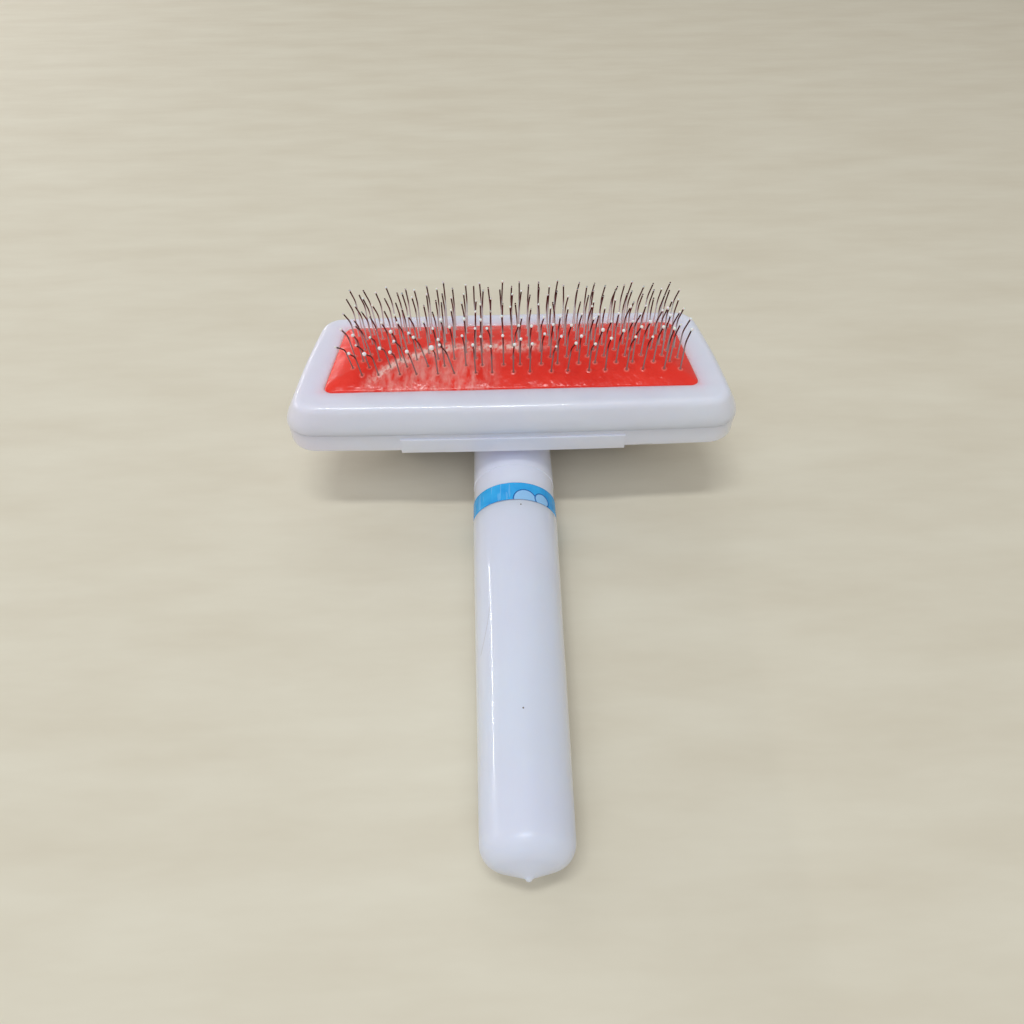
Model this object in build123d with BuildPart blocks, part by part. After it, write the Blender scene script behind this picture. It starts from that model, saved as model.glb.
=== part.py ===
from build123d import *
from math import cos, radians, sin, sqrt
import os

# Slicker brush lying on its back, pins up. X runs across the head, the handle points to -Y,
# and +Z is up. The origin is in the middle of the resting flat on the head's back. The sizes
# along Y are counted from the middle of the head. All sizes in millimetres.
head_middle = -8.3

# Head outline at the parting line, seen from above: a tapered, slightly bulged rectangle.
rim_near_width = 101.7
rim_far_width = 92.4
rim_near = -19.2
rim_far = 17.3
rim_corner = 6.9
head_bulge = 0.7
head_bottom = 18.7
parting_height = 23.7

# The front frame's walls lean in to this smaller outline at the roof.
roof_near_width = 94.9
roof_far_width = 87.8
roof_near = -18.15
roof_far = 16.5
roof_corner = 4.6
head_top = 30.35
top_edge_round = 2.2
frame_wall = 1.9
frame_roof = 2.1

# Window in the front frame that the pin pad bulges through.
window_near_width = 81.2
window_far_width = 76.4
window_near = -12.0
window_far = 11.4
window_corner = 2.0
window_lip_round = 0.5

# Domed pin pad: a patch of a large ring surface, so it curves both ways.
dome_crown = 32.5
dome_radius_x = 750.0
dome_radius_y = 40.0
rubber = 1.6
skirt = 1.3
cloth = 0.5
crown_gap = 0.42
pad_clearance = 0.15
layer_gap = 0.02
flange_reach = 2.6
foam_floor = 22.5

# Wire pins: staples with two bent legs, in staggered rows.
wire = 0.36
leg_spacing = 3.56
staple_pitch = 8.18
staples_per_row = 9
row_count = 10
first_row = -8.1
row_spacing = 2.02
odd_row_shift = 2.2
even_row_shift = 0.1
leg_height = 6.6
tip_length = 4.9
knee_angle = 29.0
knee_round = 1.0
crown_round = 0.25
ball = 0.7
socket_depth = 0.4
leg_hole = 0.42

# Back cover, neck and grip.
cover_inset = 0.25
apron_half_width = 24.4
apron_height = 3.6
apron_proud = 0.4
tongue = 1.2
tongue_inset = 2.75
tongue_height = 1.4
belly_half_width = 29.0
belly_near = 2.0
belly_far = 14.6
belly_corner = 4.0
belly_round = 2.5
cover_wall = 1.9
rib = 1.5
handle_height = 8.0
neck_half_width = 9.0
neck_half_height = 7.75
collar_step = 0.12
collar_end = 20.6
band_start = 26.1
band_end = 30.9
band_thickness = 0.12
spigot_end = 56.0
neck_wall = 2.0
grip_start = 30.9
grip_half_width = 9.2
grip_half_height = 7.9
grip_taper = 0.84
grip_taper_end = 101.4
grip_tip = 103.5
grip_end_round = 4.2
grip_wall = 1.6
seam_round = 0.35
band_edge_round = 0.9
gate_nub = 0.75

handle_plane = Plane(origin=(0, head_middle, handle_height), x_dir=(1, 0, 0), z_dir=(0, -1, 0))
side_plane = Plane(origin=(0, head_middle, 0), x_dir=(0, 1, 0), z_dir=(1, 0, 0))


def level(height):
    """Plane parallel to the table at a height, centred under the head."""
    return Plane(origin=(0, head_middle, height))


def outline(near_width, far_width, near, far, bulge, corner):
    """Rounded, slightly bulged trapezium with its wide side near the handle."""
    with BuildSketch() as shape:
        with BuildLine():
            near_left = (-near_width / 2 + bulge, near + bulge)
            near_right = (near_width / 2 - bulge, near + bulge)
            far_left = (-far_width / 2 + bulge, far - bulge)
            far_right = (far_width / 2 - bulge, far - bulge)
            middle = (near + far) / 2
            side = (near_width + far_width) / 4
            ThreePointArc(near_left, (0, near), near_right)
            ThreePointArc(near_right, (side, middle), far_right)
            ThreePointArc(far_right, (0, far), far_left)
            ThreePointArc(far_left, (-side, middle), near_left)
        make_face()
        fillet(shape.vertices(), radius=corner)
    return shape.sketch


def window_outline(grow):
    """Window shape, grown outwards by a distance, or shrunk when it is negative."""
    with BuildSketch() as shape:
        with BuildLine():
            Polyline(
                (-window_near_width / 2 - grow, window_near - grow),
                (window_near_width / 2 + grow, window_near - grow),
                (window_far_width / 2 + grow, window_far + grow),
                (-window_far_width / 2 - grow, window_far + grow),
                close=True,
            )
        make_face()
        fillet(shape.vertices(), radius=max(window_corner + grow, 0.4))
    return shape.sketch


def head_outline(inset, rise=0.0):
    """Outline of the head, drawn in by a distance, at the rim (rise 0) up to the roof (rise 1)."""
    return outline(
        rim_near_width + (roof_near_width - rim_near_width) * rise - 2 * inset,
        rim_far_width + (roof_far_width - rim_far_width) * rise - 2 * inset,
        rim_near + (roof_near - rim_near) * rise + inset,
        rim_far + (roof_far - rim_far) * rise - inset,
        head_bulge,
        rim_corner + (roof_corner - rim_corner) * rise - inset,
    )


def belly_outline(inset):
    """Flat on the underside of the back, drawn in by a distance."""
    with BuildSketch() as shape:
        with Locations((0, (belly_near + belly_far) / 2)):
            RectangleRounded(
                2 * belly_half_width - 2 * inset,
                belly_far - belly_near - 2 * inset,
                belly_corner - inset / 2,
            )
    return shape.sketch


def under_dome(depth, floor):
    """Everything between the dome, lowered by a depth along its normals, and a flat floor."""
    reach = 16.0
    radius = dome_radius_y - depth
    center = dome_crown - dome_radius_y
    edge = center + sqrt(radius**2 - reach**2)
    with BuildPart() as block:
        with BuildSketch(side_plane):
            with BuildLine():
                ThreePointArc((-reach, edge), (0, center + radius), (reach, edge))
                Polyline((reach, edge), (reach, floor), (-reach, floor), (-reach, edge))
            make_face()
        revolve(axis=Axis((0, head_middle, dome_crown - dome_radius_x), (0, 1, 0)))
    return block.part


def dome_plane(x, y):
    """Plane that touches the dome above a point, with its normal along the dome's normal."""
    fall = sqrt(dome_radius_y**2 - y**2) - dome_radius_y
    ring = dome_radius_x + fall
    z = dome_crown - dome_radius_x + sqrt(ring**2 - x**2)
    tilt_x = x / ring
    tilt_y = y / dome_radius_y
    normal = Vector(tilt_x * sqrt(1 - tilt_y**2), tilt_y, sqrt(1 - tilt_x**2) * sqrt(1 - tilt_y**2))
    across = Vector(1, 0, 0) - normal * normal.X
    return Plane(origin=(x, head_middle + y, z), x_dir=across, z_dir=normal)


row_planes = []
for row in range(row_count):
    shift = even_row_shift if row % 2 else odd_row_shift
    y_row = first_row + row * row_spacing
    middle = (staples_per_row - 1) / 2
    row_planes.append(
        [dome_plane(shift + (n - middle) * staple_pitch, y_row) for n in range(staples_per_row)]
    )

# Each leg's spot on the dome, for the holes the wires pass through.
leg_spots = []
for planes in row_planes:
    for plane in planes:
        leg_spots.append(plane.location * Location((-leg_spacing / 2, 0, 0)))
        leg_spots.append(plane.location * Location((leg_spacing / 2, 0, 0)))

# Front frame: a shallow box with leaning walls, open below, with the window in its roof.
roof_underside = head_top - frame_roof
cavity_rise = (roof_underside - parting_height) / (head_top - parting_height)
with BuildPart() as head_frame:
    with BuildSketch(level(parting_height)):
        add(head_outline(0))
    with BuildSketch(level(head_top)):
        add(head_outline(0, 1))
    loft(ruled=True)
    fillet(head_frame.faces().sort_by(Axis.Z)[-1].edges(), radius=top_edge_round)
    fillet(head_frame.faces().sort_by(Axis.Z)[0].edges(), radius=seam_round)
    with BuildSketch(level(parting_height)):
        add(head_outline(frame_wall))
    with BuildSketch(level(roof_underside)):
        add(head_outline(frame_wall, cavity_rise))
    loft(ruled=True, mode=Mode.SUBTRACT)
    with BuildSketch(level(parting_height)):
        add(window_outline(0))
    extrude(amount=head_top - parting_height, mode=Mode.SUBTRACT)
    rim = head_frame.faces().sort_by(Axis.Z)[-1]
    fillet(rim.inner_wires().edges(), radius=window_lip_round)
head_frame.part.label = "head_frame"

# Ribs inside the back cover: a grid that carries the foam.
with BuildSketch() as grid_ribs:
    with GridLocations(15.0, 0, 5, 1):
        Rectangle(rib, window_far - window_near + 1.6)
    Rectangle(window_near_width, rib)

# Lower half of those ribs, cut to the inside of the belly.
with BuildPart() as belly_ribs:
    with BuildSketch(level(0)):
        add(belly_outline(0.8))
    with BuildSketch(level(head_bottom)):
        add(head_outline(1.9))
    loft()
    with BuildSketch(level(0.8)):
        add(grid_ribs.sketch)
    extrude(amount=head_bottom - 0.8, mode=Mode.INTERSECT)

# Back cover: rim band, sloping belly down to the resting flat, neck and spigot in one moulding.
with BuildPart() as back_cover:
    with BuildSketch(level(head_bottom)):
        add(head_outline(cover_inset))
    extrude(amount=parting_height - head_bottom)
    fillet(back_cover.faces().sort_by(Axis.Z)[-1].edges(), radius=seam_round)
    fillet(back_cover.faces().sort_by(Axis.Z)[0].edges(), radius=band_edge_round)
    # Slightly proud apron across the front of the rim, above the neck.
    with BuildSketch(level(head_bottom + 0.15)):
        add(head_outline(cover_inset - apron_proud))
        add(head_outline(cover_inset + 1.0), mode=Mode.SUBTRACT)
        with Locations((0, rim_near)):
            Rectangle(2 * apron_half_width, 6, mode=Mode.INTERSECT)
    extrude(amount=apron_height)
    with BuildSketch(level(0)):
        add(belly_outline(0))
    with BuildSketch(level(head_bottom)):
        add(head_outline(1.2))
    loft()
    fillet(back_cover.faces().sort_by(Axis.Z)[0].edges(), radius=belly_round)
    with BuildSketch(handle_plane.offset(-4)):
        Ellipse(neck_half_width, neck_half_height)
    extrude(amount=band_end + 4)
    with BuildSketch(handle_plane.offset(-4)):
        Ellipse(neck_half_width + collar_step, neck_half_height + collar_step)
    extrude(amount=collar_end + 4)
    with BuildSketch(handle_plane.offset(band_end - 0.4)):
        Ellipse(neck_half_width - 1.5, neck_half_height - 1.5)
    with BuildSketch(handle_plane.offset(spigot_end)):
        Ellipse(neck_half_width - 2.05, neck_half_height - 2.05)
    loft()
    # Hollow inside of the belly and of the rim.
    with BuildSketch(level(cover_wall)):
        add(belly_outline(cover_wall - 0.2))
    with BuildSketch(level(head_bottom)):
        add(head_outline(1.1 + cover_wall))
    loft(mode=Mode.SUBTRACT)
    with BuildSketch(level(head_bottom)):
        add(head_outline(1.1 + cover_wall))
    extrude(amount=parting_height - head_bottom, mode=Mode.SUBTRACT)
    # Bore of the neck, from the end of the spigot into the belly.
    with BuildSketch(handle_plane.offset(-2)):
        Ellipse(neck_half_width - 1.5 - neck_wall, neck_half_height - 1.5 - neck_wall)
    extrude(amount=spigot_end + 3, mode=Mode.SUBTRACT)
    # Tongue that seats inside the front frame.
    with BuildSketch(level(head_bottom + 1.0)):
        add(head_outline(tongue_inset))
        add(head_outline(tongue_inset + tongue), mode=Mode.SUBTRACT)
    extrude(amount=parting_height + tongue_height - head_bottom - 1.0)
    add(belly_ribs.part)
    with BuildSketch(level(head_bottom)):
        add(grid_ribs.sketch)
    extrude(amount=foam_floor - head_bottom)
back_cover.part.label = "back_cover"

# Rubber pad: domed skin, short skirt and a flange under the frame's roof.
flange_bottom = head_top - frame_roof - rubber
with BuildPart() as pad_hollow:
    add(under_dome(rubber, foam_floor - 2))
    with BuildSketch(level(foam_floor - 2)):
        add(window_outline(-pad_clearance - skirt))
    extrude(amount=14, mode=Mode.INTERSECT)

with BuildPart() as pin_pad:
    add(under_dome(0, flange_bottom))
    with BuildSketch(level(flange_bottom)):
        add(window_outline(-pad_clearance))
    extrude(amount=10, mode=Mode.INTERSECT)
    with BuildSketch(level(flange_bottom)):
        add(window_outline(flange_reach))
    extrude(amount=rubber)
    add(pad_hollow.part, mode=Mode.SUBTRACT)
    with Locations(*leg_spots):
        Cylinder(leg_hole / 2, 5, mode=Mode.SUBTRACT)
pin_pad.part.label = "pin_pad"

# Woven backing under the rubber; the staples are driven through it.
with BuildPart() as pad_backing:
    add(under_dome(rubber + layer_gap, foam_floor))
    add(under_dome(rubber + cloth, foam_floor - 1), mode=Mode.SUBTRACT)
    with BuildSketch(level(foam_floor)):
        add(window_outline(-pad_clearance - skirt - 0.1))
    extrude(amount=12, mode=Mode.INTERSECT)
    with Locations(*leg_spots):
        Cylinder(leg_hole / 2, 6, mode=Mode.SUBTRACT)
pad_backing.part.label = "pad_backing"

# Foam block that lets the pad give.
with BuildPart() as pad_foam:
    add(under_dome(rubber + cloth + crown_gap, foam_floor))
    with BuildSketch(level(foam_floor)):
        add(window_outline(-pad_clearance - skirt - 0.3))
    extrude(amount=12, mode=Mode.INTERSECT)
pad_foam.part.label = "pad_foam"

# One wire staple, drawn about its spot on the dome: two legs with a knee, joined by a crown.
crown_depth = rubber + cloth + wire / 2 + 0.03
tip_y = -tip_length * sin(radians(knee_angle))
tip_z = leg_height + tip_length * cos(radians(knee_angle))
half = leg_spacing / 2
with BuildPart() as staple:
    with BuildLine() as wire_path:
        FilletPolyline(
            (-half, tip_y, tip_z),
            (-half, 0, leg_height),
            (-half, 0, -crown_depth),
            (half, 0, -crown_depth),
            (half, 0, leg_height),
            (half, tip_y, tip_z),
            radius=(knee_round, crown_round, crown_round, knee_round),
        )
    with BuildSketch(Plane(origin=wire_path.line @ 0, z_dir=wire_path.line % 0)):
        Circle(wire / 2)
    sweep()

# Resin balls on the two tips of a staple, each with a blind socket for the wire.
end_direction = Vector(0, -sin(radians(knee_angle)), cos(radians(knee_angle)))
with BuildPart() as tip_pair:
    for leg in (-half, half):
        end = Vector(leg, tip_y, tip_z)
        middle_of_ball = end + end_direction * (ball / 2 - socket_depth)
        with Locations(Plane(origin=middle_of_ball, z_dir=end_direction)):
            Sphere(ball / 2)
        with Locations(Plane(origin=end, z_dir=end_direction)):
            Cylinder(
                wire / 2,
                socket_depth + 0.2,
                align=(Align.CENTER, Align.CENTER, Align.MAX),
                mode=Mode.SUBTRACT,
            )

# Printed band wrapped round the neck.
with BuildPart() as neck_band:
    with BuildSketch(handle_plane.offset(band_start)):
        Ellipse(neck_half_width + band_thickness, neck_half_height + band_thickness)
        Ellipse(neck_half_width, neck_half_height, mode=Mode.SUBTRACT)
    extrude(amount=band_end - band_start)
neck_band.part.label = "neck_band"

# Grip: a tapered sleeve closed at its far end, pushed over the spigot.
with BuildPart() as grip:
    with BuildSketch(handle_plane.offset(grip_start)):
        Ellipse(grip_half_width, grip_half_height)
    with BuildSketch(handle_plane.offset(grip_taper_end)):
        Ellipse(grip_half_width * grip_taper, grip_half_height * grip_taper)
    loft()
    with BuildSketch(handle_plane.offset(grip_taper_end)):
        Ellipse(grip_half_width * grip_taper, grip_half_height * grip_taper)
    with BuildSketch(handle_plane.offset(grip_tip)):
        Ellipse(grip_half_width * 0.09, grip_half_height * 0.09)
    loft()
    shoulder_y = head_middle - grip_taper_end
    shoulder = grip.edges().filter_by_position(Axis.Y, shoulder_y - 0.01, shoulder_y + 0.01)
    fillet(shoulder, radius=grip_end_round)
    fillet(grip.edges().sort_by(Axis.Y)[-1], radius=seam_round)
    with BuildSketch(handle_plane.offset(grip_start)):
        Ellipse(neck_half_width - 1.45, neck_half_height - 1.45)
    with BuildSketch(handle_plane.offset(spigot_end)):
        Ellipse(neck_half_width - 2.0, neck_half_height - 2.0)
    loft(mode=Mode.SUBTRACT)
    with BuildSketch(handle_plane.offset(spigot_end)):
        Ellipse(neck_half_width - 2.0, neck_half_height - 2.0)
    with BuildSketch(handle_plane.offset(grip_taper_end - 3)):
        Ellipse(grip_half_width * grip_taper - grip_wall, grip_half_height * grip_taper - grip_wall)
    loft(mode=Mode.SUBTRACT)
    with Locations(handle_plane.offset(grip_tip - 0.25)):
        Cone(1.0, 0.35, gate_nub, align=(Align.CENTER, Align.CENTER, Align.MIN))
grip.part.label = "grip"

os.makedirs("parts", exist_ok=True)
export_step(head_frame.part, "parts/head_frame.step")
export_step(back_cover.part, "parts/back_cover.step")
export_step(pin_pad.part, "parts/pin_pad.step")
export_step(pad_backing.part, "parts/pad_backing.step")
export_step(pad_foam.part, "parts/pad_foam.step")
export_step(neck_band.part, "parts/neck_band.step")
export_step(grip.part, "parts/grip.step")

for row, planes in enumerate(row_planes, start=1):
    spots = [plane.location for plane in planes]
    with BuildPart() as pin_row:
        with Locations(*spots):
            add(staple.part)
    pin_row.part.label = f"pin_row_{row:02d}"
    export_step(pin_row.part, f"parts/pin_row_{row:02d}.step")
    with BuildPart() as tip_row:
        with Locations(*spots):
            add(tip_pair.part)
    tip_row.part.label = f"tip_row_{row:02d}"
    export_step(tip_row.part, f"parts/tip_row_{row:02d}.step")
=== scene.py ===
import math
import random

import bpy
import numpy as np
from mathutils import Matrix, Vector, noise


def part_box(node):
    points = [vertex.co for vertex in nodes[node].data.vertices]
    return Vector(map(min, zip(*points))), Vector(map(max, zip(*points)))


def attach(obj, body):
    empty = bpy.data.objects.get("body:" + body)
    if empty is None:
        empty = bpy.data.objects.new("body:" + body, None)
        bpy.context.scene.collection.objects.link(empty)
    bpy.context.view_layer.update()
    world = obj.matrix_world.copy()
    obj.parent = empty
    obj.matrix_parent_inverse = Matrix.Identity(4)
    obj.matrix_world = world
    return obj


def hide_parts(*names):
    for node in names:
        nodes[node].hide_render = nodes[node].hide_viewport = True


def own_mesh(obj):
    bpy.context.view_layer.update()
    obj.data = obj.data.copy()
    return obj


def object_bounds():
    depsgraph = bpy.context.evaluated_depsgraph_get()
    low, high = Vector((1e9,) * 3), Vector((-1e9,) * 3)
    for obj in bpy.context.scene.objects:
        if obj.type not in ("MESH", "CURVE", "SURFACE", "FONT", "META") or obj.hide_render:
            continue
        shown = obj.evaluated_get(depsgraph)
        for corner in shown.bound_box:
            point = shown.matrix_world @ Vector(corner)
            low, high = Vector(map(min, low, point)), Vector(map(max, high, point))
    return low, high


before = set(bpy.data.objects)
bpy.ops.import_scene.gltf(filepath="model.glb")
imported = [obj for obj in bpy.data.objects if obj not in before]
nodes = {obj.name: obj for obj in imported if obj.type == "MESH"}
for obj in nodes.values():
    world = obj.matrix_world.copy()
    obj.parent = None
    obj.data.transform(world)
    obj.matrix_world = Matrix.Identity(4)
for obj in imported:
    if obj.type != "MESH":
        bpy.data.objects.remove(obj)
cad_low, cad_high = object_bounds()
MM = 0.001

# Driving sizes of the part, in millimetres, the same as in the CAD source. Y is counted from
# the middle of the head.
RIM = {"near_width": 101.7, "far_width": 92.4, "near": -19.2, "far": 17.3, "corner": 6.9}
BROW = {"near_width": 94.9, "far_width": 87.8, "near": -18.15, "far": 16.5, "corner": 4.6}
HEAD_BULGE, TOP_ROUND, WALL, SEAM = 0.7, 2.2, 1.9, 0.35
WINDOW_NEAR_WIDTH, WINDOW_FAR_WIDTH, WINDOW_CORNER, LIP = 81.2, 76.4, 2.0, 0.5
WINDOW_NEAR, WINDOW_FAR, FLANGE_REACH = -12.0, 11.4, 2.6
DOME_X, DOME_Y, RUBBER = 750.0, 40.0, 1.6
LEG_SPACING, PITCH, STAPLES, ROWS = 3.56, 8.18, 9, 10
FIRST_ROW, ROW_STEP, ODD_SHIFT, EVEN_SHIFT = -8.1, 2.02, 2.2, 0.1
LEG, TIP, KNEE, WIRE, BALL = 6.6, 4.9, 29.0, 0.36, 0.7
HANDLE_Z = 8.0
NECK_A, NECK_B = 9.0, 7.75
GRIP_A, GRIP_B = 9.2, 7.9
FOAM_FLOOR, TRAVEL = 22.5, 2.0

# Sizes of the visible pieces alone.
PILLOW_DROP = 2.3
WIRE_WEAR = 0.02
SHEET = 0.45


def low(name):
    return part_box(name)[0] / MM


def high(name):
    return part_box(name)[1] / MM


HEAD_TOP = high("head_frame").z
PARTING = low("head_frame").z
CROWN = high("pin_pad").z
FLANGE = low("pin_pad").z
ROOF = FLANGE + RUBBER
HEAD_Y = low("pin_pad").y - (WINDOW_NEAR - FLANGE_REACH)
BAND_NEAR, BAND_FAR = low("neck_band").y - HEAD_Y, high("neck_band").y - HEAD_Y
GRIP_LIP = high("grip").y - HEAD_Y
WINDOW_DEPTH = WINDOW_FAR - WINDOW_NEAR
WINDOW_MIDDLE = (WINDOW_NEAR + WINDOW_FAR) / 2


def window_half(y):
    """Half the window's width at a distance from the middle of the head."""
    narrowing = (WINDOW_FAR_WIDTH - WINDOW_NEAR_WIDTH) / 2 / WINDOW_DEPTH
    return (y - WINDOW_NEAR) * narrowing + WINDOW_NEAR_WIDTH / 2


# ---------------------------------------------------------------- material helpers
class Field:
    """A value that varies over a surface, worked out by shader nodes."""

    def __init__(self, tree, socket):
        self.tree, self.socket = tree, socket

    def math(self, operation, *others, clamp=False):
        made = self.tree.nodes.new("ShaderNodeMath")
        made.operation = operation
        made.use_clamp = clamp
        for slot, value in zip(made.inputs, (self, *others)):
            join(self.tree, value, slot)
        return Field(self.tree, made.outputs[0])

    def __add__(self, other):
        return self.math("ADD", other)

    def __sub__(self, other):
        return self.math("SUBTRACT", other)

    def __mul__(self, other):
        return self.math("MULTIPLY", other)

    def __truediv__(self, other):
        return self.math("DIVIDE", other)

    def line(self, slope, offset):
        """slope times the value, plus offset, held between 0 and 1."""
        return self.math("MULTIPLY_ADD", slope, offset, clamp=True)

    def above(self, limit):
        return self.math("GREATER_THAN", limit)

    def below(self, limit):
        return self.math("LESS_THAN", limit)

    def at_least(self, other):
        return self.math("MAXIMUM", other)

    def at_most(self, other):
        return self.math("MINIMUM", other)

    def size(self):
        return self.math("ABSOLUTE")

    def root(self):
        return self.math("SQRT")

    def exp(self):
        return self.math("EXPONENT")


def join(tree, value, slot):
    """Feed a node's input with a field, a number or a color."""
    if isinstance(value, Field):
        tree.links.new(value.socket, slot)
    elif isinstance(value, tuple) and len(value) == 3 and len(slot.default_value) == 4:
        slot.default_value = (*value, 1.0)
    else:
        slot.default_value = value


def shader(name):
    mat = bpy.data.materials.new(name)
    mat.use_nodes = True
    tree = mat.node_tree
    return mat, tree, tree.nodes["Principled BSDF"]


def put(bsdf, **values):
    """Set inputs of a shader; an underscore in a keyword stands for a space."""
    for key, value in values.items():
        join(bsdf.id_data, value, bsdf.inputs[key.replace("_", " ")])


def surface_place(tree):
    """Position in millimetres from the middle of the head."""
    texture = tree.nodes.new("ShaderNodeTexCoord")
    scale = tree.nodes.new("ShaderNodeVectorMath")
    scale.operation = "MULTIPLY_ADD"
    scale.inputs[1].default_value = (1 / MM, 1 / MM, 1 / MM)
    scale.inputs[2].default_value = (0.0, -HEAD_Y, 0.0)
    tree.links.new(texture.outputs["Object"], scale.inputs[0])
    return Field(tree, scale.outputs[0])


def split(place):
    made = place.tree.nodes.new("ShaderNodeSeparateXYZ")
    place.tree.links.new(place.socket, made.inputs[0])
    return [Field(place.tree, socket) for socket in made.outputs]


def stretch(place, x, y, z):
    made = place.tree.nodes.new("ShaderNodeVectorMath")
    made.operation = "MULTIPLY"
    join(place.tree, place, made.inputs[0])
    made.inputs[1].default_value = (x, y, z)
    return Field(place.tree, made.outputs[0])


def noise_of(place, scale, detail=2.0, rough=0.5):
    made = place.tree.nodes.new("ShaderNodeTexNoise")
    made.inputs["Scale"].default_value = scale
    made.inputs["Detail"].default_value = detail
    made.inputs["Roughness"].default_value = rough
    join(place.tree, place, made.inputs["Vector"])
    return Field(place.tree, made.outputs["Fac"])


def attribute(tree, name):
    made = tree.nodes.new("ShaderNodeAttribute")
    made.attribute_name = name
    return Field(tree, made.outputs["Fac"])


def ramp(value, first, first_color, last, last_color):
    """Color that runs from one to the other as the value goes from first to last."""
    made = value.tree.nodes.new("ShaderNodeValToRGB")
    join(value.tree, value, made.inputs["Fac"])
    for element, place, color in zip(made.color_ramp.elements, (first, last), (first_color, last_color)):
        element.position = place
        element.color = (*color, 1.0)
    return Field(value.tree, made.outputs["Color"])


def mix(share, under, over):
    made = share.tree.nodes.new("ShaderNodeMix")
    made.data_type = "RGBA"
    join(share.tree, share, made.inputs["Factor"])
    join(share.tree, under, made.inputs[6])
    join(share.tree, over, made.inputs[7])
    return Field(share.tree, made.outputs[2])


def bump(bsdf, height, strength, distance, under=None):
    tree = bsdf.id_data
    made = tree.nodes.new("ShaderNodeBump")
    made.inputs["Strength"].default_value = strength
    made.inputs["Distance"].default_value = distance
    join(tree, height, made.inputs["Height"])
    if under is not None:
        join(tree, under, made.inputs["Normal"])
    normal = Field(tree, made.outputs[0])
    put(bsdf, Normal=normal)
    return normal


# ---------------------------------------------------------------- materials
def milky_plastic(name, light, shade, paint, coat):
    """Translucent white moulded plastic with faint flow clouds, sink ripples and hairline wear.

    paint adds the piece's own marks and any painted light to the color; coat gives the share of clear
    gloss."""
    mat, tree, bsdf = shader(name)
    place = surface_place(tree)
    color = ramp(noise_of(place, 0.045, 3.0, 0.55), 0.3, shade, 0.62, light)
    fine = noise_of(stretch(place, 1.0, 0.25, 1.0), 2.2, 4.0, 0.6)
    scuffs = noise_of(stretch(place, 1.0, 0.3, 0.3), 0.3, 2.0, 0.5).line(0.7, -0.33)
    put(
        bsdf,
        Base_Color=paint(color, *split(place)),
        Roughness=fine * 0.12 + 0.25,
        IOR=1.49,
        Coat_Weight=coat(*split(place)),
        Coat_Roughness=scuffs + 0.04,
        Subsurface_Weight=0.6,
        Subsurface_Radius=(1.0, 0.85, 0.75),
        Subsurface_Scale=0.006,
    )
    ripples = bump(bsdf, noise_of(place, 0.09), 0.35, 0.0012)
    bump(bsdf, fine, 0.06, 0.0001, ripples)
    return mat


def head_tint_and_painted_light(color, x, y, z):
    """Lilac tint to the left, a painted red glow of light from the rubber round the window, and a painted
    highlight on the window's lip.
    """
    color = mix(x.line(-0.05, -1.5) * 0.7, color, (0.82, 0.76, 0.97))
    # Painted red glow: light from the red rubber, fading with the distance from the window.
    beside = (x.size() - window_half(y)).at_least(0.0)
    beyond = (y - WINDOW_FAR).at_least(0.0) + (y * -1.0 + WINDOW_NEAR).at_least(0.0)
    away = beside + beyond
    glow_patches = noise_of(surface_place(x.tree), 0.12) * 1.4 + 0.3
    painted_red_glow = ((away * -0.75).exp() * glow_patches).line(0.5, 0.0)
    roof = z.above(FLANGE)
    color = mix(painted_red_glow * roof, color, (1.0, 0.5, 0.58))
    # Painted highlight along the window's lip, in near white.
    lip = z.below(HEAD_TOP - 0.14) * away.below(1.2)
    return mix(lip * roof * 0.85, color, (1.0, 0.95, 0.98))


def even_coat(x, y, z):
    return 0.8


def grip_marks(color, x, y, z):
    """Two dark specks and one bowed hairline scratch on the upper side of the grip."""
    upper_side = z.above(HANDLE_Z)
    for speck_x, speck_y, radius in ((1.2, -32.4, 0.17), (0.0, -78.4, 0.16)):
        dx, dy = x - speck_x, y - speck_y
        spot = (dx * dx + dy * dy).below(radius * radius)
        color = mix(spot * upper_side, color, (0.16, 0.13, 0.12))
    (start_x, start_y), (end_x, end_y), bow = (-5.5, -56.0), (-7.4, -66.0), 0.8
    along = (y - start_y) / (end_y - start_y)
    path = along * (end_x - start_x) + start_x + along * (along * -1.0 + 1.0) * bow
    scratch = (x - path).size().below(0.07) * along.above(0.0) * along.below(1.0)
    return mix(scratch * upper_side * 0.45, color, (0.45, 0.42, 0.42))


def grip_coat(x, y, z):
    """Full gloss that turns matt over the last few millimetres of the grip."""
    matt_end, per_mm = -94.0, 0.12
    return y.line(per_mm, -per_mm * matt_end)


def painted_rubber_reflection(place, x, y):
    """Painted reflection of a bright window on the slope nearest the handle: a curved band, with
    reflected streaks below it.
    """
    from_bend = (x + 10.0).at_most(0.0)
    above = y - from_bend * from_bend * -0.0227
    close = above * 0.65
    left_end, right_end = x.line(0.2, 6.6), x.line(-0.12, 1.3)
    ripples = noise_of(stretch(place, 1.0, 0.5, 1.0), 1.3, 3.0, 0.6).line(3.0, -0.9)
    band = (close * close * -1.0).exp() * ripples * left_end * right_end
    cloudy = noise_of(place, 0.55, 3.0, 0.6).line(2.4, -0.55)
    streaks = noise_of(stretch(place, 1.0, 0.12, 1.0), 0.75, 3.0, 0.6).line(3.2, -1.2)
    # Painted reflected streaks below the band.
    painted_streaks = above.line(-0.5, 0.0) * x.line(-0.15, -0.2) * left_end * streaks
    return (band * cloudy * 1.8).math("MAXIMUM", painted_streaks * 0.45, clamp=True)


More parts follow.
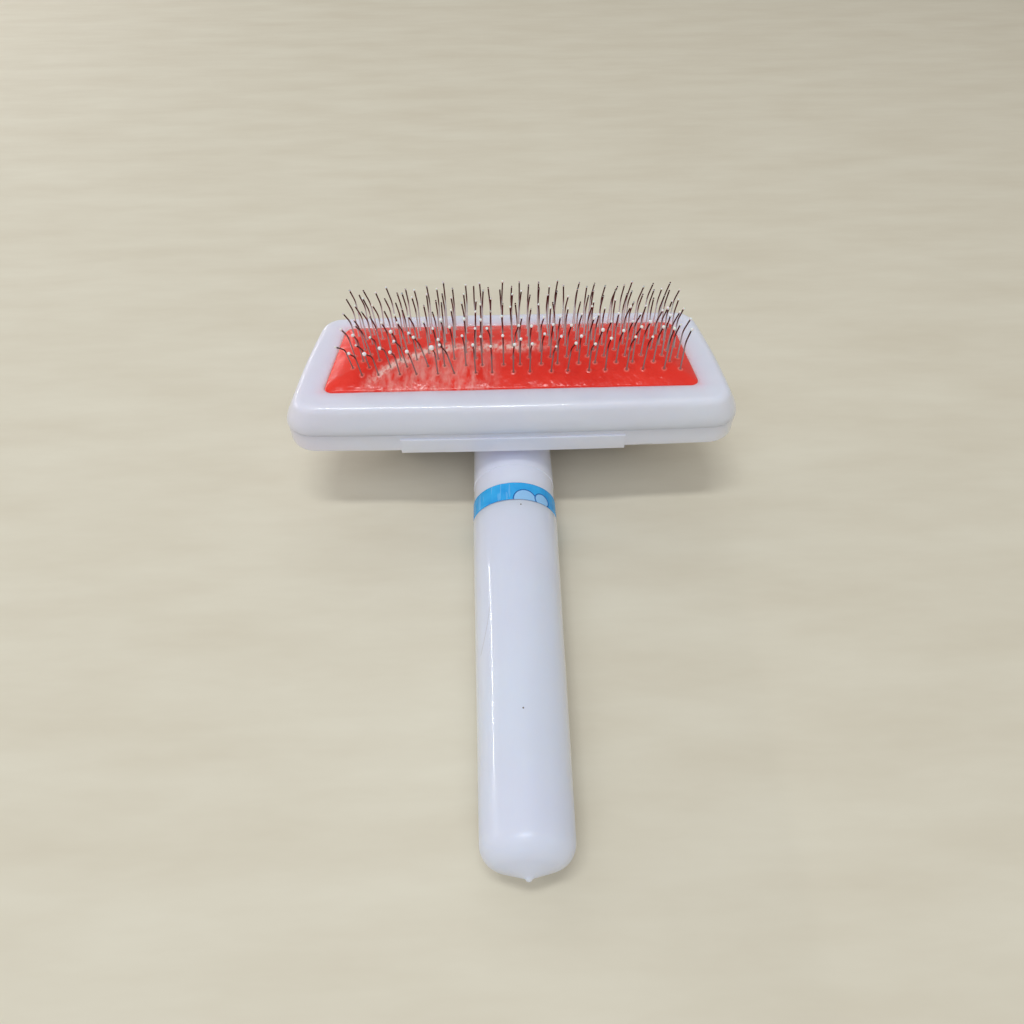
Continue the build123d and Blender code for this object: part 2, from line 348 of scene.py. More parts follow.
def red_rubber():
    """Glossy red rubber; the rim attribute marks the pale stretched rubber round the pins, and a second
    attribute carries painted shade in the puncture where each pin goes in.
    """
    mat, tree, bsdf = shader("red_rubber")
    place = surface_place(tree)
    x, y, _ = split(place)
    clouds = noise_of(place, 0.12, 3.0, 0.55)
    color = ramp(clouds, 0.3, (0.8, 0.022, 0.012), 0.7, (0.92, 0.04, 0.022))
    color = mix(attribute(tree, "rim") * 0.6, color, (1.0, 0.36, 0.3))
    # Painted shade in the puncture round each pin.
    color = mix(attribute(tree, "hole_shade") * 0.75, color, (0.16, 0.01, 0.01))
    # Painted reflection on the front slope of the rubber, in pale pink.
    color = mix(painted_rubber_reflection(place, x, y) * 0.9, color, (1.0, 0.66, 0.58))
    flecks = noise_of(place, 1.6, 6.0, 0.7).above(0.735)
    color = mix(flecks * 0.25, color, (0.95, 0.6, 0.55))
    smears = noise_of(stretch(place, 1.0, 0.35, 1.0), 0.5, 4.0, 0.6)
    put(
        bsdf,
        Base_Color=color,
        Roughness=smears * 0.22 + 0.1,
        IOR=1.52,
        Subsurface_Weight=0.12,
        Subsurface_Radius=(1.0, 0.2, 0.1),
        Subsurface_Scale=0.002,
    )
    bump(bsdf, noise_of(place, 0.35, 3.0, 0.55), 0.5, 0.0006)
    return mat


def steel_wire():
    """Pale steel below the knee, browner near the handle; above the knee, a dark red-brown painted
    reflection of the rubber with painted shade.
    """
    mat, tree, bsdf = shader("pin_wire")
    place = surface_place(tree)
    _, y, _ = split(place)
    streaks = noise_of(stretch(place, 2.0, 2.0, 0.3), 1.1, 3.0, 0.6)
    upper = attribute(tree, "upper")
    bright = ramp(streaks, 0.3, (0.68, 0.86, 0.87), 0.7, (0.82, 0.98, 1.0))
    bright = mix(y.line(-0.07, 0.42) * 0.8, bright, (0.2, 0.12, 0.11))
    # Painted reflection of the red rubber, with painted shade, on the wire above the knee.
    dark = ramp(streaks, 0.3, (0.035, 0.005, 0.005), 0.7, (0.11, 0.02, 0.018))
    put(
        bsdf,
        Base_Color=mix(upper, bright, dark),
        Metallic=upper * 0.3 + 0.25,
        Roughness=streaks * 0.15 + 0.24,
    )
    return mat


def tip_resin():
    mat, tree, bsdf = shader("tip_resin")
    clouds = noise_of(surface_place(tree), 1.3)
    put(
        bsdf,
        Base_Color=ramp(clouds, 0.3, (0.84, 0.83, 0.8), 0.7, (0.95, 0.95, 0.94)),
        Roughness=clouds * 0.1 + 0.12,
        Subsurface_Weight=0.3,
        Subsurface_Scale=0.0005,
    )
    return mat


def band_film():
    """Blue film with a generic pattern of pale rounded petals, creased where it was wrapped."""
    mat, tree, bsdf = shader("band_film")
    place = surface_place(tree)
    x, y, z = split(place)
    arc = x.math("ARCTAN2", z - HANDLE_Z) * ((NECK_A + NECK_B) / 2)
    color = ramp(noise_of(place, 0.25), 0.3, (0.01, 0.33, 0.8), 0.7, (0.035, 0.48, 0.92))
    creases = noise_of(stretch(place, 1.0, 0.12, 1.0), 1.5)
    color = mix(creases.above(0.6) * arc.below(0.5) * 0.3, color, (0.3, 0.62, 0.95))
    petals = ((2.3, 0.1, 2.5), (6.4, 0.9, 1.6))
    for repeat in (-20.0, 0.0, 20.0):
        for petal_arc, above_edge, radius in petals:
            da, dy = arc - (petal_arc + repeat), y - (BAND_NEAR + above_edge)
            distance = (da * da + dy * dy).root()
            color = mix(distance.below(radius + 0.3), color, (0.0, 0.13, 0.45))
            color = mix(distance.below(radius), color, (0.3, 0.58, 0.9))
    put(bsdf, Base_Color=color, Roughness=0.22)
    bump(bsdf, creases, 0.6, 0.0003)
    return mat


def soft_fill(name, dark, light, scale):
    mat, tree, bsdf = shader(name)
    cells = noise_of(surface_place(tree), scale, 5.0, 0.65)
    put(bsdf, Base_Color=ramp(cells, 0.35, dark, 0.65, light), Roughness=0.9)
    bump(bsdf, cells, 0.5, 0.0003)
    return mat


head_plastic = milky_plastic(
    "white_plastic", (0.81, 0.83, 0.98), (0.78, 0.79, 0.95), head_tint_and_painted_light, even_coat
)
# The grip's own bluish-white plastic, with its tones darkened as painted shade to hold back the light
# from above.
grip_plastic = milky_plastic(
    "grip_plastic", (0.7, 0.745, 0.86), (0.69, 0.71, 0.83), grip_marks, grip_coat
)
rubber = red_rubber()
wire = steel_wire()
resin = tip_resin()
film = band_film()
cloth = soft_fill("backing_cloth", (0.7, 0.66, 0.58), (0.84, 0.8, 0.72), 3.0)
foam = soft_fill("foam", (0.78, 0.75, 0.68), (0.88, 0.86, 0.8), 1.2)


# ---------------------------------------------------------------- mesh helpers
def build(name, points, faces, material, smooth=True):
    """Mesh object from points in millimetres, counted from the middle of the head."""
    data = bpy.data.meshes.new(name)
    data.from_pydata(((np.asarray(points, float) + (0.0, HEAD_Y, 0.0)) * MM).tolist(), [], faces)
    data.materials.append(material)
    data.validate()
    data.update()
    if smooth:
        data.shade_smooth()
    made = bpy.data.objects.new(name, data)
    bpy.context.scene.collection.objects.link(made)
    return made


def add_attribute(piece, name, values):
    layer = piece.data.attributes.new(name, "FLOAT", "POINT")
    layer.data.foreach_set("value", values)


def loop_faces(rings, count, closed=False):
    """Quads between consecutive rings of count points each."""
    faces = []
    last = rings if closed else rings - 1
    for r in range(last):
        a, b = r * count, ((r + 1) % rings) * count
        for i in range(count):
            j = (i + 1) % count
            faces.append((a + i, a + j, b + j, b + i))
    return faces


def circle_through(p, q, r):
    ax, ay = p
    bx, by = q
    cx, cy = r
    pp, qq, rr = ax**2 + ay**2, bx**2 + by**2, cx**2 + cy**2
    d = 2 * (ax * (by - cy) + bx * (cy - ay) + cx * (ay - by))
    ux = (pp * (by - cy) + qq * (cy - ay) + rr * (ay - by)) / d
    uy = (pp * (cx - bx) + qq * (ax - cx) + rr * (bx - ax)) / d
    return np.array((ux, uy)), math.hypot(ax - ux, ay - uy)


def fillet_center(first, second, corner, end):
    """Centre of the circle of radius corner that touches two circles from inside, near a point."""
    (c0, r0), (c1, r1) = first, second
    d0, d1 = r0 - corner, r1 - corner
    gap = c1 - c0
    dist = math.hypot(*gap)
    a = (d0**2 - d1**2 + dist**2) / (2 * dist)
    h = math.sqrt(max(d0**2 - a**2, 0.0))
    base = c0 + gap * a / dist
    across = np.array((-gap[1], gap[0])) / dist
    options = [base + across * h, base - across * h]
    return min(options, key=lambda p: math.hypot(p[0] - end[0], p[1] - end[1]))


def arc_points(center, radius, start, stop, steps):
    """Points of an arc, counter-clockwise from start up to stop, without stop."""
    a0 = math.atan2(start[1], start[0])
    a1 = math.atan2(stop[1], stop[0])
    while a1 < a0:
        a1 += 2 * math.pi
    angles = [a0 + (a1 - a0) * n / steps for n in range(steps)]
    return [(center[0] + radius * math.cos(a), center[1] + radius * math.sin(a)) for a in angles]


def outline(near_width, far_width, near, far, bulge, corner):
    """Rounded, slightly bulged trapezium as points, counter-clockwise from the near left corner."""
    long_steps, short_steps, corner_steps = 72, 28, 14
    ends = [
        (-near_width / 2 + bulge, near + bulge),
        (near_width / 2 - bulge, near + bulge),
        (far_width / 2 - bulge, far - bulge),
        (-far_width / 2 + bulge, far - bulge),
    ]
    side = (near_width + far_width) / 4
    middle = (near + far) / 2
    mids = [(0, near), (side, middle), (0, far), (-side, middle)]
    arcs = [circle_through(ends[i], mids[i], ends[(i + 1) % 4]) for i in range(4)]
    centers = [fillet_center(arcs[i - 1], arcs[i], corner, ends[i]) for i in range(4)]
    points = []
    for i in range(4):
        here, following = centers[i], centers[(i + 1) % 4]
        before, after = arcs[i - 1][0], arcs[i][0]
        points += arc_points(here, corner, here - before, here - after, corner_steps)
        steps = long_steps if i % 2 == 0 else short_steps
        points += arc_points(after, arcs[i][1], here - after, following - after, steps)
    return np.array(points)


def head_outline(inset, rise=0.0):
    """Outline of the head, drawn in by a distance, from the rim (rise 0) up to the roof (rise 1)."""
    size = {key: RIM[key] + (BROW[key] - RIM[key]) * rise for key in RIM}
    return outline(
        size["near_width"] - 2 * inset,
        size["far_width"] - 2 * inset,
        size["near"] + inset,
        size["far"] - inset,
        HEAD_BULGE,
        size["corner"] - inset,
    )


STRAIGHT = 0.001


def window_outline(grow):
    return outline(
        WINDOW_NEAR_WIDTH + 2 * grow,
        WINDOW_FAR_WIDTH + 2 * grow,
        WINDOW_NEAR - grow,
        WINDOW_FAR + grow,
        STRAIGHT,
        max(WINDOW_CORNER + grow, 0.4),
    )


def ring_at(plan, z):
    """Plan outline at one height, or at a height for each of its points."""
    return np.column_stack((plan, np.full(len(plan), z)))


def ellipse_ring(a, b, y, count):
    """Cross-section of the handle."""
    t = np.linspace(0, 2 * math.pi, count, endpoint=False)
    return np.column_stack((a * np.sin(t), np.full(count, y), HANDLE_Z + b * np.cos(t)))


def dome_z(x, y):
    """Outer face of the CAD dome that the pins stand on."""
    ring = DOME_X + np.sqrt(np.maximum(DOME_Y**2 - np.square(y), 1.0)) - DOME_Y
    return CROWN - DOME_X + np.sqrt(np.maximum(ring**2 - np.square(x), 1.0))


def pad_z(x, y):
    """Top of the cushion: a pillow that falls towards all four edges of the window."""
    power, corner_power = 2.4, 6
    reach = WINDOW_DEPTH / 2
    side = np.clip(1 - (window_half(y) - np.abs(x)) / reach, 0.0, 1.0) ** power
    front = np.clip(np.abs(y - WINDOW_MIDDLE) / reach, 0.0, 1.0) ** power
    fall = (side**corner_power + front**corner_power + 1e-12) ** (1 / corner_power)
    return CROWN - PILLOW_DROP * fall


def wobble(x, y, z, scale, seed):
    return noise.noise(Vector((x * scale + seed, y * scale - seed, z * scale + 0.5 * seed)))


def quarter(steps):
    """Angles of a quarter turn, both ends included."""
    return [math.pi / 2 * n / steps for n in range(steps + 1)]


# ---------------------------------------------------------------- front frame
def frame_rings():
    """Rings of the frame's section: outer wall, roof, window, underside of the roof."""
    tall = HEAD_TOP - PARTING
    wall_top = 1 - 0.8 * TOP_ROUND / tall
    top_inset = 0.75 * TOP_ROUND
    rings = []
    for a in quarter(4):
        z = SEAM - SEAM * math.cos(a)
        rings.append(ring_at(head_outline(SEAM - SEAM * math.sin(a), z / tall), PARTING + z))
    for n in range(1, 9):
        rise = SEAM / tall + (wall_top - SEAM / tall) * n / 9
        belly = 0.22 * math.sin(math.pi * min(rise / wall_top, 1.0))
        rings.append(ring_at(head_outline(-belly, rise), PARTING + tall * rise))
    for n in range(15):
        t = n / 14
        rise = wall_top * (1 - t) ** 2 + 2 * t * (1 - t) + t * t
        rings.append(ring_at(head_outline(top_inset * t * t, rise), PARTING + tall * rise))
    outer, inner = head_outline(top_inset, 1.0), window_outline(LIP)
    for n in range(1, 10):
        rings.append(ring_at(outer * (1 - n / 10) + inner * (n / 10), HEAD_TOP))
    for a in quarter(6):
        drop = LIP - LIP * math.cos(a)
        rings.append(ring_at(window_outline(LIP * (1 - math.sin(a))), HEAD_TOP - drop))
    window = window_outline(0)
    rings.append(ring_at(window, ROOF + 0.6))
    rings.append(ring_at(window, ROOF))
    under = head_outline(WALL, (ROOF - PARTING) / tall)
    for n in range(1, 4):
        rings.append(ring_at(window * (1 - n / 4) + under * (n / 4), ROOF))
    rings.append(ring_at(under, ROOF))
    rings.append(ring_at(head_outline(WALL), PARTING))
    return rings


def make_frame():
    rings = frame_rings()
    points = np.vstack(rings)
    # Slight warp of the moulding: ripples along the walls and sink marks in the roof.
    for p in points:
        if p[2] > PARTING + 1.0:
            push = 0.06 * wobble(*p, 0.11, 3.1) + 0.03 * wobble(*p, 0.33, 8.7)
            if p[2] > HEAD_TOP - 0.6:
                p[2] += push - 0.02
            else:
                p[1] += push * np.sign(p[1]) * 0.8
    faces = loop_faces(len(rings), len(rings[0]), closed=True)
    return build("frame_shell", points, faces, head_plastic)


frame_shell = make_frame()
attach(frame_shell, "shell")
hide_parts("head_frame")

# ---------------------------------------------------------------- pins
rng = random.Random(11)


def staple_legs():
    """The two legs of every staple: row, place in the row, origin on the dome and its axes."""
    legs = []
    for row in range(ROWS):
        shift = EVEN_SHIFT if row % 2 else ODD_SHIFT
        y = FIRST_ROW + row * ROW_STEP
        ring = DOME_X + math.sqrt(DOME_Y**2 - y**2) - DOME_Y
        for n in range(STAPLES):
            x = shift + (n - (STAPLES - 1) / 2) * PITCH
            sin_x, sin_y = x / ring, y / DOME_Y
            cos_x, cos_y = math.sqrt(1 - sin_x**2), math.sqrt(1 - sin_y**2)
            normal = Vector((sin_x * cos_y, sin_y, cos_x * cos_y))
            across = (Vector((1, 0, 0)) - normal * normal.x).normalized()
            origin = Vector((x, y, float(dome_z(x, y))))
            axes = (across, normal.cross(across), normal)
            for side in (-1, 1):
                legs.append({"row": row, "n": n, "side": side, "origin": origin, "axes": axes})
    return legs


def smooth(value):
    value = min(max(value, 0.0), 1.0)
    return value * value * (3 - 2 * value)


def leg_path(leg):
    """Centre line of one leg, from inside the rubber to the tip, with its own small bends."""
    across, along, normal = leg["axes"]
    foot = leg["origin"] + across * (leg["side"] * LEG_SPACING / 2)
    foot.z = float(pad_z(foot.x, foot.y))
    # Towards the ends the pad turns flat and the pins stand up; use has pushed the left ones over.
    tilt = math.asin(foot.y / DOME_Y)
    right_end, left_end = smooth((foot.x - 8) / 28), smooth((-foot.x - 10) / 26)
    upright = math.radians(4)
    pushed = math.radians(-19 + 25 * (foot.y - FIRST_ROW) / (ROWS * ROW_STEP))
    lean_y = right_end * (upright - tilt) + left_end * (pushed - tilt) + rng.gauss(0, 0.02)
    lean_x = 0.01 * left_end - 0.01 * right_end + rng.gauss(0, 0.022)
    far_rows, right_half = smooth((leg["row"] - 3) / 3), smooth((foot.x + 2) / 12)
    lean_x += 0.03 * (leg["row"] - 7.5) * right_half * far_rows
    splayed = leg["row"] < 2 and leg["n"] in (1, 2)
    if splayed:
        lean_x += rng.gauss(0, 0.08)
        lean_y += rng.gauss(0, 0.06)
    knee = LEG + rng.gauss(0, 0.22)
    tip = TIP + rng.gauss(0, 0.12)
    bend = math.radians(KNEE + rng.gauss(0, 3.0))
    twist = 0.07 * right_end - 0.14 * left_end + rng.gauss(0, 0.08)
    lower = (normal + across * lean_x + along * lean_y).normalized()
    upper = lower * math.cos(bend) - along * math.sin(bend) + across * twist * math.sin(bend)
    upper = upper.normalized()
    buried, knee_round = 0.8, 1.3
    corner = foot + lower * knee
    start, stop, end = corner - lower * knee_round, corner + upper * knee_round, corner + upper * tip
    points = [foot - lower * buried, foot, foot + lower * knee * 0.5]
    for t in (0.0, 0.25, 0.5, 0.75, 1.0):
        points.append(start * (1 - t) ** 2 + corner * 2 * t * (1 - t) + stop * t**2)
    points += [stop.lerp(end, 0.5), end]
    return points, upper


# Share of the painted dark reflection and shade above the knee at each point of a leg's path.
PAINTED_REFLECTION_SHARE = (0.0, 0.0, 0.0, 0.15, 0.4, 0.75, 0.95, 1.0, 1.0, 1.0)


def tube(points, radius, sides=10):
    """Points and faces of a round wire along a path, both ends closed."""
    rings = []
    guide = Vector((1, 0, 0))
    for i, p in enumerate(points):
        before, after = points[max(i - 1, 0)], points[min(i + 1, len(points) - 1)]
        direction = (after - before).normalized()
        u = (guide - direction * guide.dot(direction)).normalized()
        v = direction.cross(u)
        for s in range(sides):
            a = 2 * math.pi * s / sides
            rings.append(p + u * (radius * math.cos(a)) + v * (radius * math.sin(a)))
    faces = loop_faces(len(points), sides)
    faces.append(tuple(range(sides - 1, -1, -1)))
    faces.append(tuple((len(points) - 1) * sides + s for s in range(sides)))
    return rings, faces


def ball_mesh(center, axis, radius, long, rows=9, columns=14):
    """Points and faces of a ball, drawn out along its axis."""
    side = axis.orthogonal().normalized()
    other = axis.cross(side)
    points = [center + axis * radius * long]
    for r in range(1, rows):
        a = math.pi * r / rows
        level, wide = axis * (radius * long * math.cos(a)), radius * math.sin(a)
        for c in range(columns):
            b = 2 * math.pi * c / columns
            points.append(center + level + side * (wide * math.cos(b)) + other * (wide * math.sin(b)))
    points.append(center - axis * radius * long)
    last, last_ring = len(points) - 1, 1 + (rows - 2) * columns
    faces = []
    for c in range(columns):
        d = (c + 1) % columns
        faces.append((0, 1 + c, 1 + d))
        faces.append((last, last_ring + d, last_ring + c))
        for r in range(rows - 2):
            a, b = 1 + r * columns, 1 + (r + 1) * columns
            faces.append((a + c, b + c, b + d, a + d))
    return points, faces


def join_up(parts):
    """One list of points and one of faces from many."""
    points, faces = [], []
    for part_points, part_faces in parts:
        faces += [tuple(len(points) + i for i in face) for face in part_faces]
        points += part_points
    return points, faces


def make_row(row, legs):
    """Wires and tip balls of one row; returns where its wires leave the rubber."""
    feet, wires, balls = [], [], []
    for leg in legs:
        path, upper = leg_path(leg)
        feet.append(path[1])
        wires.append(tube(path, WIRE / 2 - WIRE_WEAR))
        size = BALL / 2 * (0.92 + rng.gauss(0, 0.12))
        size *= 1.0 - 0.35 * smooth((row - 2) / 3)
        if rng.random() < 0.07:
            size *= 1.4
        middle = path[-1] + upper * (size - 0.4)
        balls.append(ball_mesh(middle, upper, size, 1.0 + abs(rng.gauss(0, 0.06))))
    number = f"{row + 1:02d}"
    pins = build(f"pins_{number}", *join_up(wires), wire)
    sides = len(wires[0][0]) // len(PAINTED_REFLECTION_SHARE)
    add_attribute(pins, "upper", [share for _ in wires for share in PAINTED_REFLECTION_SHARE for _ in range(sides)])
    tips = build(f"tips_{number}", *join_up(balls), resin)
    for piece, slot, node_name in ((pins, "pin_wire", "pin_row_"), (tips, "tip_resin", "tip_row_")):
        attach(piece, f"row_{number}")
        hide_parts(node_name + number)
    return feet


all_legs = staple_legs()
feet = []
for row in range(ROWS):
    feet += make_row(row, [leg for leg in all_legs if leg["row"] == row])


# ---------------------------------------------------------------- rubber pad
def pad_grid():
    """Grid over the window, its corners pulled in to the rounded corner, and the distance to the edge."""
    step, gap = 0.17, 0.03
    across = np.linspace(-1.0, 1.0, int(WINDOW_NEAR_WIDTH / step) + 1)
    along = np.linspace(0.0, 1.0, int(WINDOW_DEPTH / step) + 1)
    u, v = np.meshgrid(across, along)
    near, far = WINDOW_NEAR + gap, WINDOW_FAR - gap
    half = (WINDOW_NEAR_WIDTH / 2) * (1 - v) + (WINDOW_FAR_WIDTH / 2) * v - gap
    x, y = u * half, near + (far - near) * v
    side_x = half - np.abs(x)
    side_y = np.minimum(y - near, far - y)
    r = WINDOW_CORNER
    a, b = np.clip(r - side_x, 0, None), np.clip(r - side_y, 0, None)
    in_corner = (a > 0) & (b > 0)
    length = np.maximum(np.sqrt(a**2 + b**2), 1e-9)
    pull = np.where(in_corner, np.maximum(a, b) / length, 1.0)
    x = np.where(in_corner, np.sign(x) * (half - r + a * pull), x)
    y_corner = np.where(y > (near + far) / 2, far - r + b * pull, near + r - b * pull)
    y = np.where(in_corner, y_corner, y)
    return x, y, np.minimum(side_x, side_y)


def make_pad():
    """Fine grid over the window, with a puckered rim round every pin, rounded edges and a skirt."""
    x, y, edge = pad_grid()
    rows, wide = x.shape
    roll = 0.2
    inner = np.clip(roll - edge, 0, roll)
    z = pad_z(x, y) - (roll - np.sqrt(np.maximum(roll**2 - inner**2, 0.0)))
    rim, hole_shade, lift = np.zeros_like(x), np.zeros_like(x), np.zeros_like(x)
    for foot in feet:
        d = np.hypot(x - foot.x, y - foot.y)
        near = d < 2.0
        d = d[near]
        rim[near] = np.maximum(rim[near], np.exp(-(((d - 0.42) / 0.16) ** 2)) * rng.uniform(0.4, 1.0))
        # Painted shade where each pin goes into the rubber.
        hole_shade[near] = np.maximum(hole_shade[near], np.exp(-((d / 0.24) ** 2)))
        lift[near] += 0.10 * np.exp(-(((d - 0.38) / 0.2) ** 2)) - 0.10 * np.exp(-((d / 0.2) ** 2))
    points = np.column_stack((x.ravel(), y.ravel(), (z + lift).ravel()))
    faces = []
    for start in range(0, (rows - 1) * wide, wide):
        faces += [(k, k + 1, k + 1 + wide, k + wide) for k in range(start, start + wide - 1)]
    last = rows - 1
    border = list(range(wide)) + [j * wide + wide - 1 for j in range(1, rows)]
    border += [last * wide + i for i in range(wide - 2, -1, -1)]
    border += [j * wide for j in range(last - 1, 0, -1)]
    skirt = points[border].copy()
    skirt[:, 2] = FLANGE + 0.2
    base, count = len(points), len(border)
    for i in range(count):
        j = (i + 1) % count
        faces.append((border[j], border[i], base + i, base + j))
    pad = build("pad_skin", np.vstack((points, skirt)), faces, rubber)
    for name, values in (("rim", rim), ("hole_shade", hole_shade)):
        add_attribute(pad, name, np.concatenate((values.ravel(), np.zeros(count))))
    return pad


pad = make_pad()
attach(pad, "shell")
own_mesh(pad)
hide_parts("pin_pad")

# Flange of the pad under the frame's roof: distance outside the window, and height.
flange_section = (
    (-0.7, FLANGE),
    (FLANGE_REACH, FLANGE),
    (FLANGE_REACH, ROOF - 0.02),
    (0.2, ROOF - 0.02),
    (-0.3, ROOF - 0.4),
    (-0.7, ROOF - 0.4),
)
flange_rings = [ring_at(window_outline(grow), z) for grow, z in flange_section]
flange_faces = loop_faces(len(flange_rings), len(flange_rings[0]), closed=True)
flange = build("pad_flange", np.vstack(flange_rings), flange_faces, rubber, smooth=False)
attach(flange, "shell")


# ---------------------------------------------------------------- neck band and grip
def push_out(p, push, radius):
    """Move a point of the handle away from its axis."""
    p[0] *= 1 + push / radius
    p[2] = HANDLE_Z + (p[2] - HANDLE_Z) * (1 + push / radius)


def make_band():
    """Thin film round the neck, with a shallow fold on its left and a slightly uneven edge."""
    count, thick, edge = 300, 0.16, 0.08
    width = BAND_FAR - BAND_NEAR
    profile = [(BAND_FAR, 0.02), (BAND_FAR, thick * 0.7), (BAND_FAR - edge, thick)]
    profile += [(BAND_FAR - edge - (width - 2 * edge) * n / 16, thick) for n in range(1, 17)]
    profile += [(BAND_NEAR, thick * 0.7), (BAND_NEAR, 0.02)]
    points = np.vstack([ellipse_ring(NECK_A + grow, NECK_B + grow, y, count) for y, grow in profile])
    for i, p in enumerate(points):
        side = math.atan2(p[0], p[2] - HANDLE_Z)
        if 2 * count <= i < len(points) - 2 * count:
            fold = max(0.0, 1 - abs(side + 0.35) / 0.9)
            push = 0.05 * fold * wobble(side * 8, p[1] * 0.25, 0, 1.0, 5.5)
            push_out(p, push, math.hypot(p[0], p[2] - HANDLE_Z))
        else:
            p[1] += 0.05 * wobble(side * 6, 0, 0, 1.0, 1.5)
    return build("band_film", points, loop_faces(len(profile), count), film)


band = make_band()
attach(band, "shell")
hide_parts("neck_band")


def grip_sections():
    """Half-axes and place of each ring of the grip, from inside its mouth to the nub."""
    mouth_a, mouth_b, lip = 7.62, 6.32, 0.45
    sections = [(mouth_a, mouth_b, GRIP_LIP - 1.5), (mouth_a, mouth_b, GRIP_LIP)]
    for a in quarter(5):
        inset = lip - lip * math.sin(a)
        sections.append((GRIP_A - inset, GRIP_B - inset, GRIP_LIP - lip + lip * math.cos(a)))
    taper, taper_end, body_end = 0.84, -101.4, -98.3
    for n in range(1, 61):
        y = GRIP_LIP - lip + (body_end - GRIP_LIP + lip) * n / 60
        k = 1 + (taper - 1) * (GRIP_LIP - y) / (GRIP_LIP - taper_end)
        sections.append((GRIP_A * k, GRIP_B * k, y))
    # Rounded shoulder, then a shallow cone down to the tip.
    radius, slope = 4.2, math.radians(16.9)
    edge_a, edge_b, _ = sections[-1]
    for n in range(1, 15):
        a = (math.pi / 2 - slope) * n / 14
        inset = radius * (1 - math.cos(a))
        sections.append((edge_a - inset, edge_b - inset, body_end - radius * math.sin(a)))
    cone_a, cone_b, cone_y = sections[-1]
    drop = cone_a * math.tan(slope)
    for n in range(1, 7):
        t = n / 7.2
        sections.append((cone_a * (1 - t), cone_b * (1 - t), cone_y - drop * t))
    tip_y = cone_y - drop * 0.86
    nub = ((0.6, 0.12), (0.5, 0.26), (0.4, 0.38), (0.25, 0.46), (0.02, 0.48))
    sections += [(size, size * 0.9, tip_y - below) for size, below in nub]
    return sections


def make_grip():
    """Tapered sleeve with a rolled lip, a softly coned end and a gate nub."""
    count = 200
    sections = grip_sections()
    points = np.vstack([ellipse_ring(a, b, y, count) for a, b, y in sections])
    mouth_rings = 8
    for p in points[mouth_rings * count:]:
        side = math.atan2(p[0], p[2] - HANDLE_Z)
        push = 0.05 * wobble(math.cos(side) * 3, p[1] * 0.045, math.sin(side) * 3, 0.8, 2.2)
        push_out(p, push, max(math.hypot(p[0], p[2] - HANDLE_Z), 5))
    return build("grip_sleeve", points, loop_faces(len(sections), count), grip_plastic)


grip = make_grip()
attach(grip, "shell")
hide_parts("grip")


# ---------------------------------------------------------------- foam and woven backing
def make_layer(name, source, material, seed, bottom=None):
    """Soft layer under the rubber, domed on top and slightly uneven; a sheet if it has no bottom."""
    depth = CROWN - high(source).z + 0.03
    near, far = low(source).y - HEAD_Y, high(source).y - HEAD_Y
    near_width, narrowing, corner = 2 * high(source).x, 4.5, 1.0
    plan = outline(near_width, near_width - narrowing, near, far, STRAIGHT, corner)
    center = np.array((0.0, (near + far) / 2))
    tops = []
    for share in np.linspace(0.06, 0.995, 18):
        flat = center + (plan - center) * share
        tops.append(ring_at(flat, dome_z(flat[:, 0], flat[:, 1]) - depth))
    unders = []
    for top in reversed(tops):
        height = top[:, 2] - SHEET if bottom is None else bottom
        unders.append(ring_at(top[:, :2], height))
    points = np.vstack(tops + unders)
    for p in points:
        p[2] += 0.04 * wobble(p[0], p[1], 0.0, 0.7, seed)
    count, rings = len(plan), 2 * len(tops)
    faces = loop_faces(rings, count)
    faces.append(tuple(range(count - 1, -1, -1)))
    faces.append(tuple(range((rings - 1) * count, rings * count)))
    return build(name, points, faces, material)


backing = make_layer("backing_sheet", "pad_backing", cloth, 13)
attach(backing, "pin_bed")
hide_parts("pad_backing")

block = make_layer("foam_block", "pad_foam", foam, 10, bottom=FOAM_FLOOR)
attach(block, "shell")
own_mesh(block)
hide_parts("pad_foam")

# ---------------------------------------------------------------- CAD node that stays as it is
cover = nodes["back_cover"].data
cover.materials.clear()
cover.materials.append(head_plastic)

# ---------------------------------------------------------------- floor, light and camera
floor_data = bpy.data.meshes.new("floor")
floor_data.from_pydata([(-3, -3, 0), (3, -3, 0), (3, 3, 0), (-3, 3, 0)], [], [(0, 1, 2, 3)])
floor = bpy.data.objects.new("floor", floor_data)
bpy.context.scene.collection.objects.link(floor)
floor.location.z = cad_low.z - 0.0001
tile, tree, bsdf = shader("floor_tile")
grain = noise_of(stretch(surface_place(tree), 0.25, 1.0, 1.0), 0.08, 4.0, 0.6)
put(bsdf, Base_Color=ramp(grain, 0.3, (0.68, 0.62, 0.49), 0.7, (0.74, 0.69, 0.56)), Roughness=0.62)
floor_data.materials.append(tile)


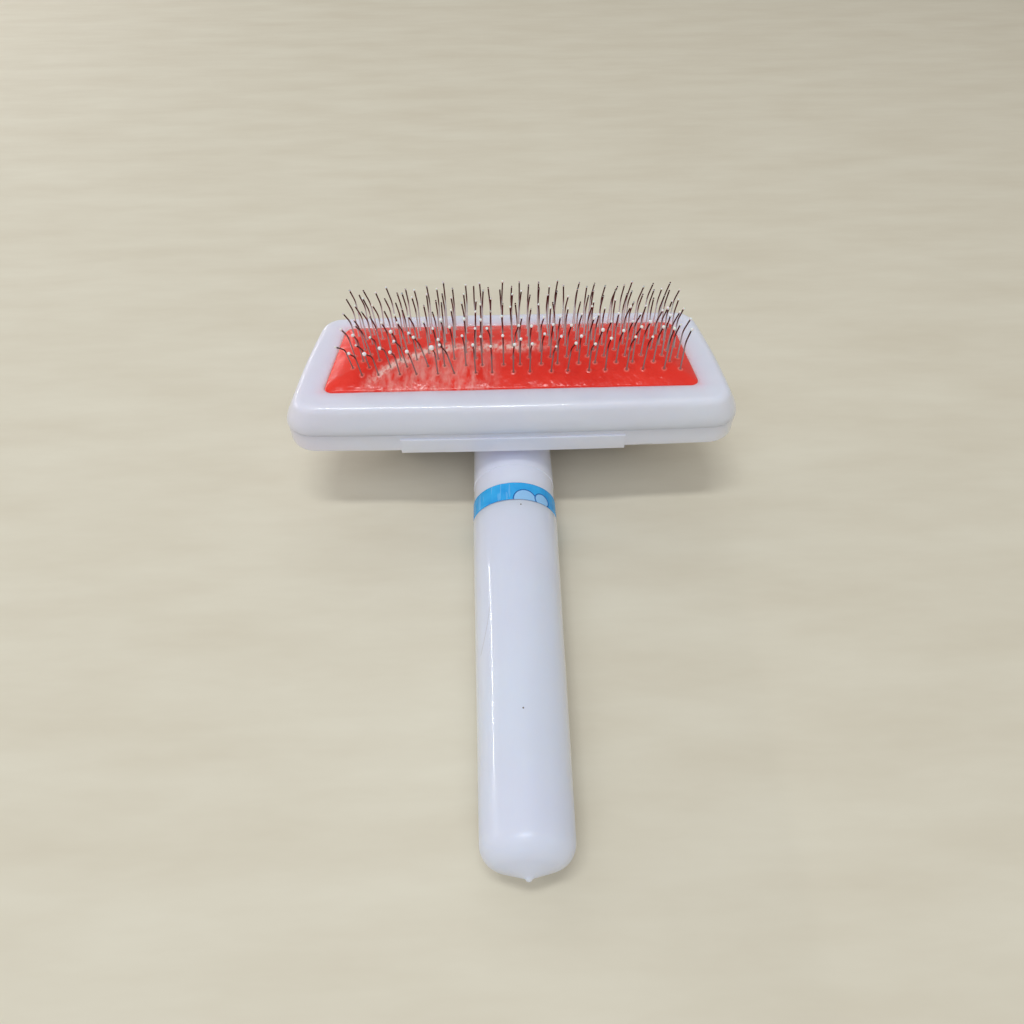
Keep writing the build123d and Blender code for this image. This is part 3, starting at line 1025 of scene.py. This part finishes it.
def lamp(name, energy, color, place, aim, size_x, size_y, shiny=True):
    """Rectangular lamp; one that isn't shiny lights the brush without a reflection of its own."""
    light = bpy.data.lights.new(name, "AREA")
    light.energy = energy
    light.color = color
    light.shape = "RECTANGLE"
    light.size = size_x
    light.size_y = size_y
    made = bpy.data.objects.new(name, light)
    bpy.context.scene.collection.objects.link(made)
    made.location = place
    made.rotation_euler = (Vector(aim) - Vector(place)).to_track_quat("-Z", "Y").to_euler()
    made.visible_glossy = shiny


brush = (cad_low + cad_high) / 2
lamp("back_panel", 1.7, (0.88, 0.94, 1.0), (-0.25, 0.75, 0.95), brush, 1.2, 0.7, shiny=False)
lamp("front_panel", 2.9, (0.82, 0.9, 1.0), (-0.1, -0.6, 0.75), brush, 0.9, 0.6, shiny=False)
lamp("ceiling_tube", 3.5, (0.93, 0.97, 1.0), (-0.12, -0.16, 1.1), (-0.12, -0.16, 0.0), 0.5, 0.1)
lamp("side_window", 2.2, (1.0, 1.0, 1.0), (-0.63, 0.95, 0.23), (0.0, 0.95, 0.0), 2.0, 0.014)

world = bpy.data.worlds.new("studio")
bpy.context.scene.world = world
world.use_nodes = True
background = world.node_tree.nodes["Background"]
background.inputs["Color"].default_value = (1.0, 0.95, 0.89, 1.0)
background.inputs["Strength"].default_value = 0.36
bpy.context.scene.view_settings.view_transform = "Standard"

camera_data = bpy.data.cameras.new("camera")
camera_data.sensor_width = 36.0
camera_data.lens = 26.02
camera_data.clip_start = 0.01
camera = bpy.data.objects.new("camera", camera_data)
bpy.context.scene.collection.objects.link(camera)
tilt, roll, yaw = math.radians(48.66), -0.009, math.radians(1.178)
camera_place = Vector((-0.014, -136.708, 131.913))
turned = Matrix.Rotation(-yaw, 3, "Z")
forward = Vector((0, math.cos(tilt), -math.sin(tilt)))
level = Vector((1, 0, 0))
up = level.cross(forward)
right = level * math.cos(roll) + up * math.sin(roll)
rolled_up = up * math.cos(roll) - level * math.sin(roll)
pose = (turned @ Matrix((right, rolled_up, -forward)).transposed()).to_4x4()
pose.translation = (turned @ camera_place + Vector((0, HEAD_Y, 0))) * MM
camera.matrix_world = pose
bpy.context.scene.camera = camera
